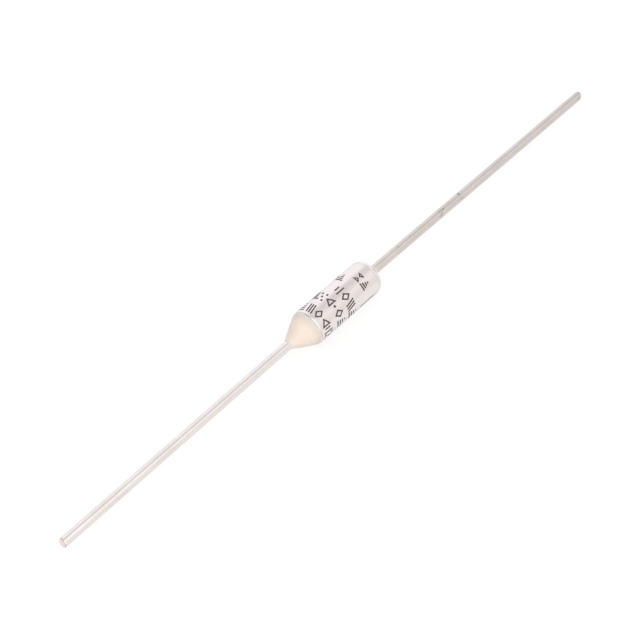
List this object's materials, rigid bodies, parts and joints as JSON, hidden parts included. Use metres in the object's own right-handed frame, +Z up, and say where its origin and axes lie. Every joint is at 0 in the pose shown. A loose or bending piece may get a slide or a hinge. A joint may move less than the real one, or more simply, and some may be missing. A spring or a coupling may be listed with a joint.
{
  "type": "thermal fuse",
  "caption": "Axial thermal fuse: a plated metal barrel with a resin-sealed end and a straight wire lead at each end, which opens its circuit once when it overheats.",
  "frame": {"origin": "on the axis, at mid-length of the metal barrel", "axes": "+X along the axis from the resin-sealed end to the closed end, +Z up"},
  "size_m": [0.0807, 0.004, 0.004],
  "materials": {
    "plated_barrel": "satin",
    "tinned_wire_dull": "satin",
    "tinned_wire_bright": "satin",
    "seal_resin": "satin",
    "white_ceramic": "matte",
    "silver_contact": "satin",
    "bare_brass": "satin",
    "spring_steel": "satin",
    "disc_steel": "satin",
    "pellet_compound": "matte"
  },
  "bodies": {
    "housing": {"barrel_shell": "plated_barrel", "case_lead": "tinned_wire_dull", "isolated_lead": "tinned_wire_bright", "epoxy_seal": "seal_resin", "ceramic_bushing": "white_ceramic", "thermal_pellet": "pellet_compound", "compression_spring": "spring_steel", "trip_spring": "spring_steel"},
    "contact": {"star_contact": "silver_contact", "contact_disc": "bare_brass"},
    "pellet_plate": {"pellet_disc": "disc_steel"}
  },
  "joints": [
    {"name": "contact_trip", "type": "slide", "parent": "housing", "child": "contact", "axis": [1, 0, 0], "range_m": [0, 0.0009], "stiffness_N_per_m": 1000, "springref_m": -0.001, "deforming": ["trip_spring", "compression_spring", "thermal_pellet"]},
    {"name": "disc_settle", "type": "slide", "parent": "contact", "child": "pellet_plate", "axis": [1, 0, 0], "range_m": [0, 0.00099], "deforming": ["compression_spring", "thermal_pellet"]}
  ],
  "couplings": [
    {"joint": "disc_settle", "follows": "contact_trip", "ratio": 1.1}
  ]
}
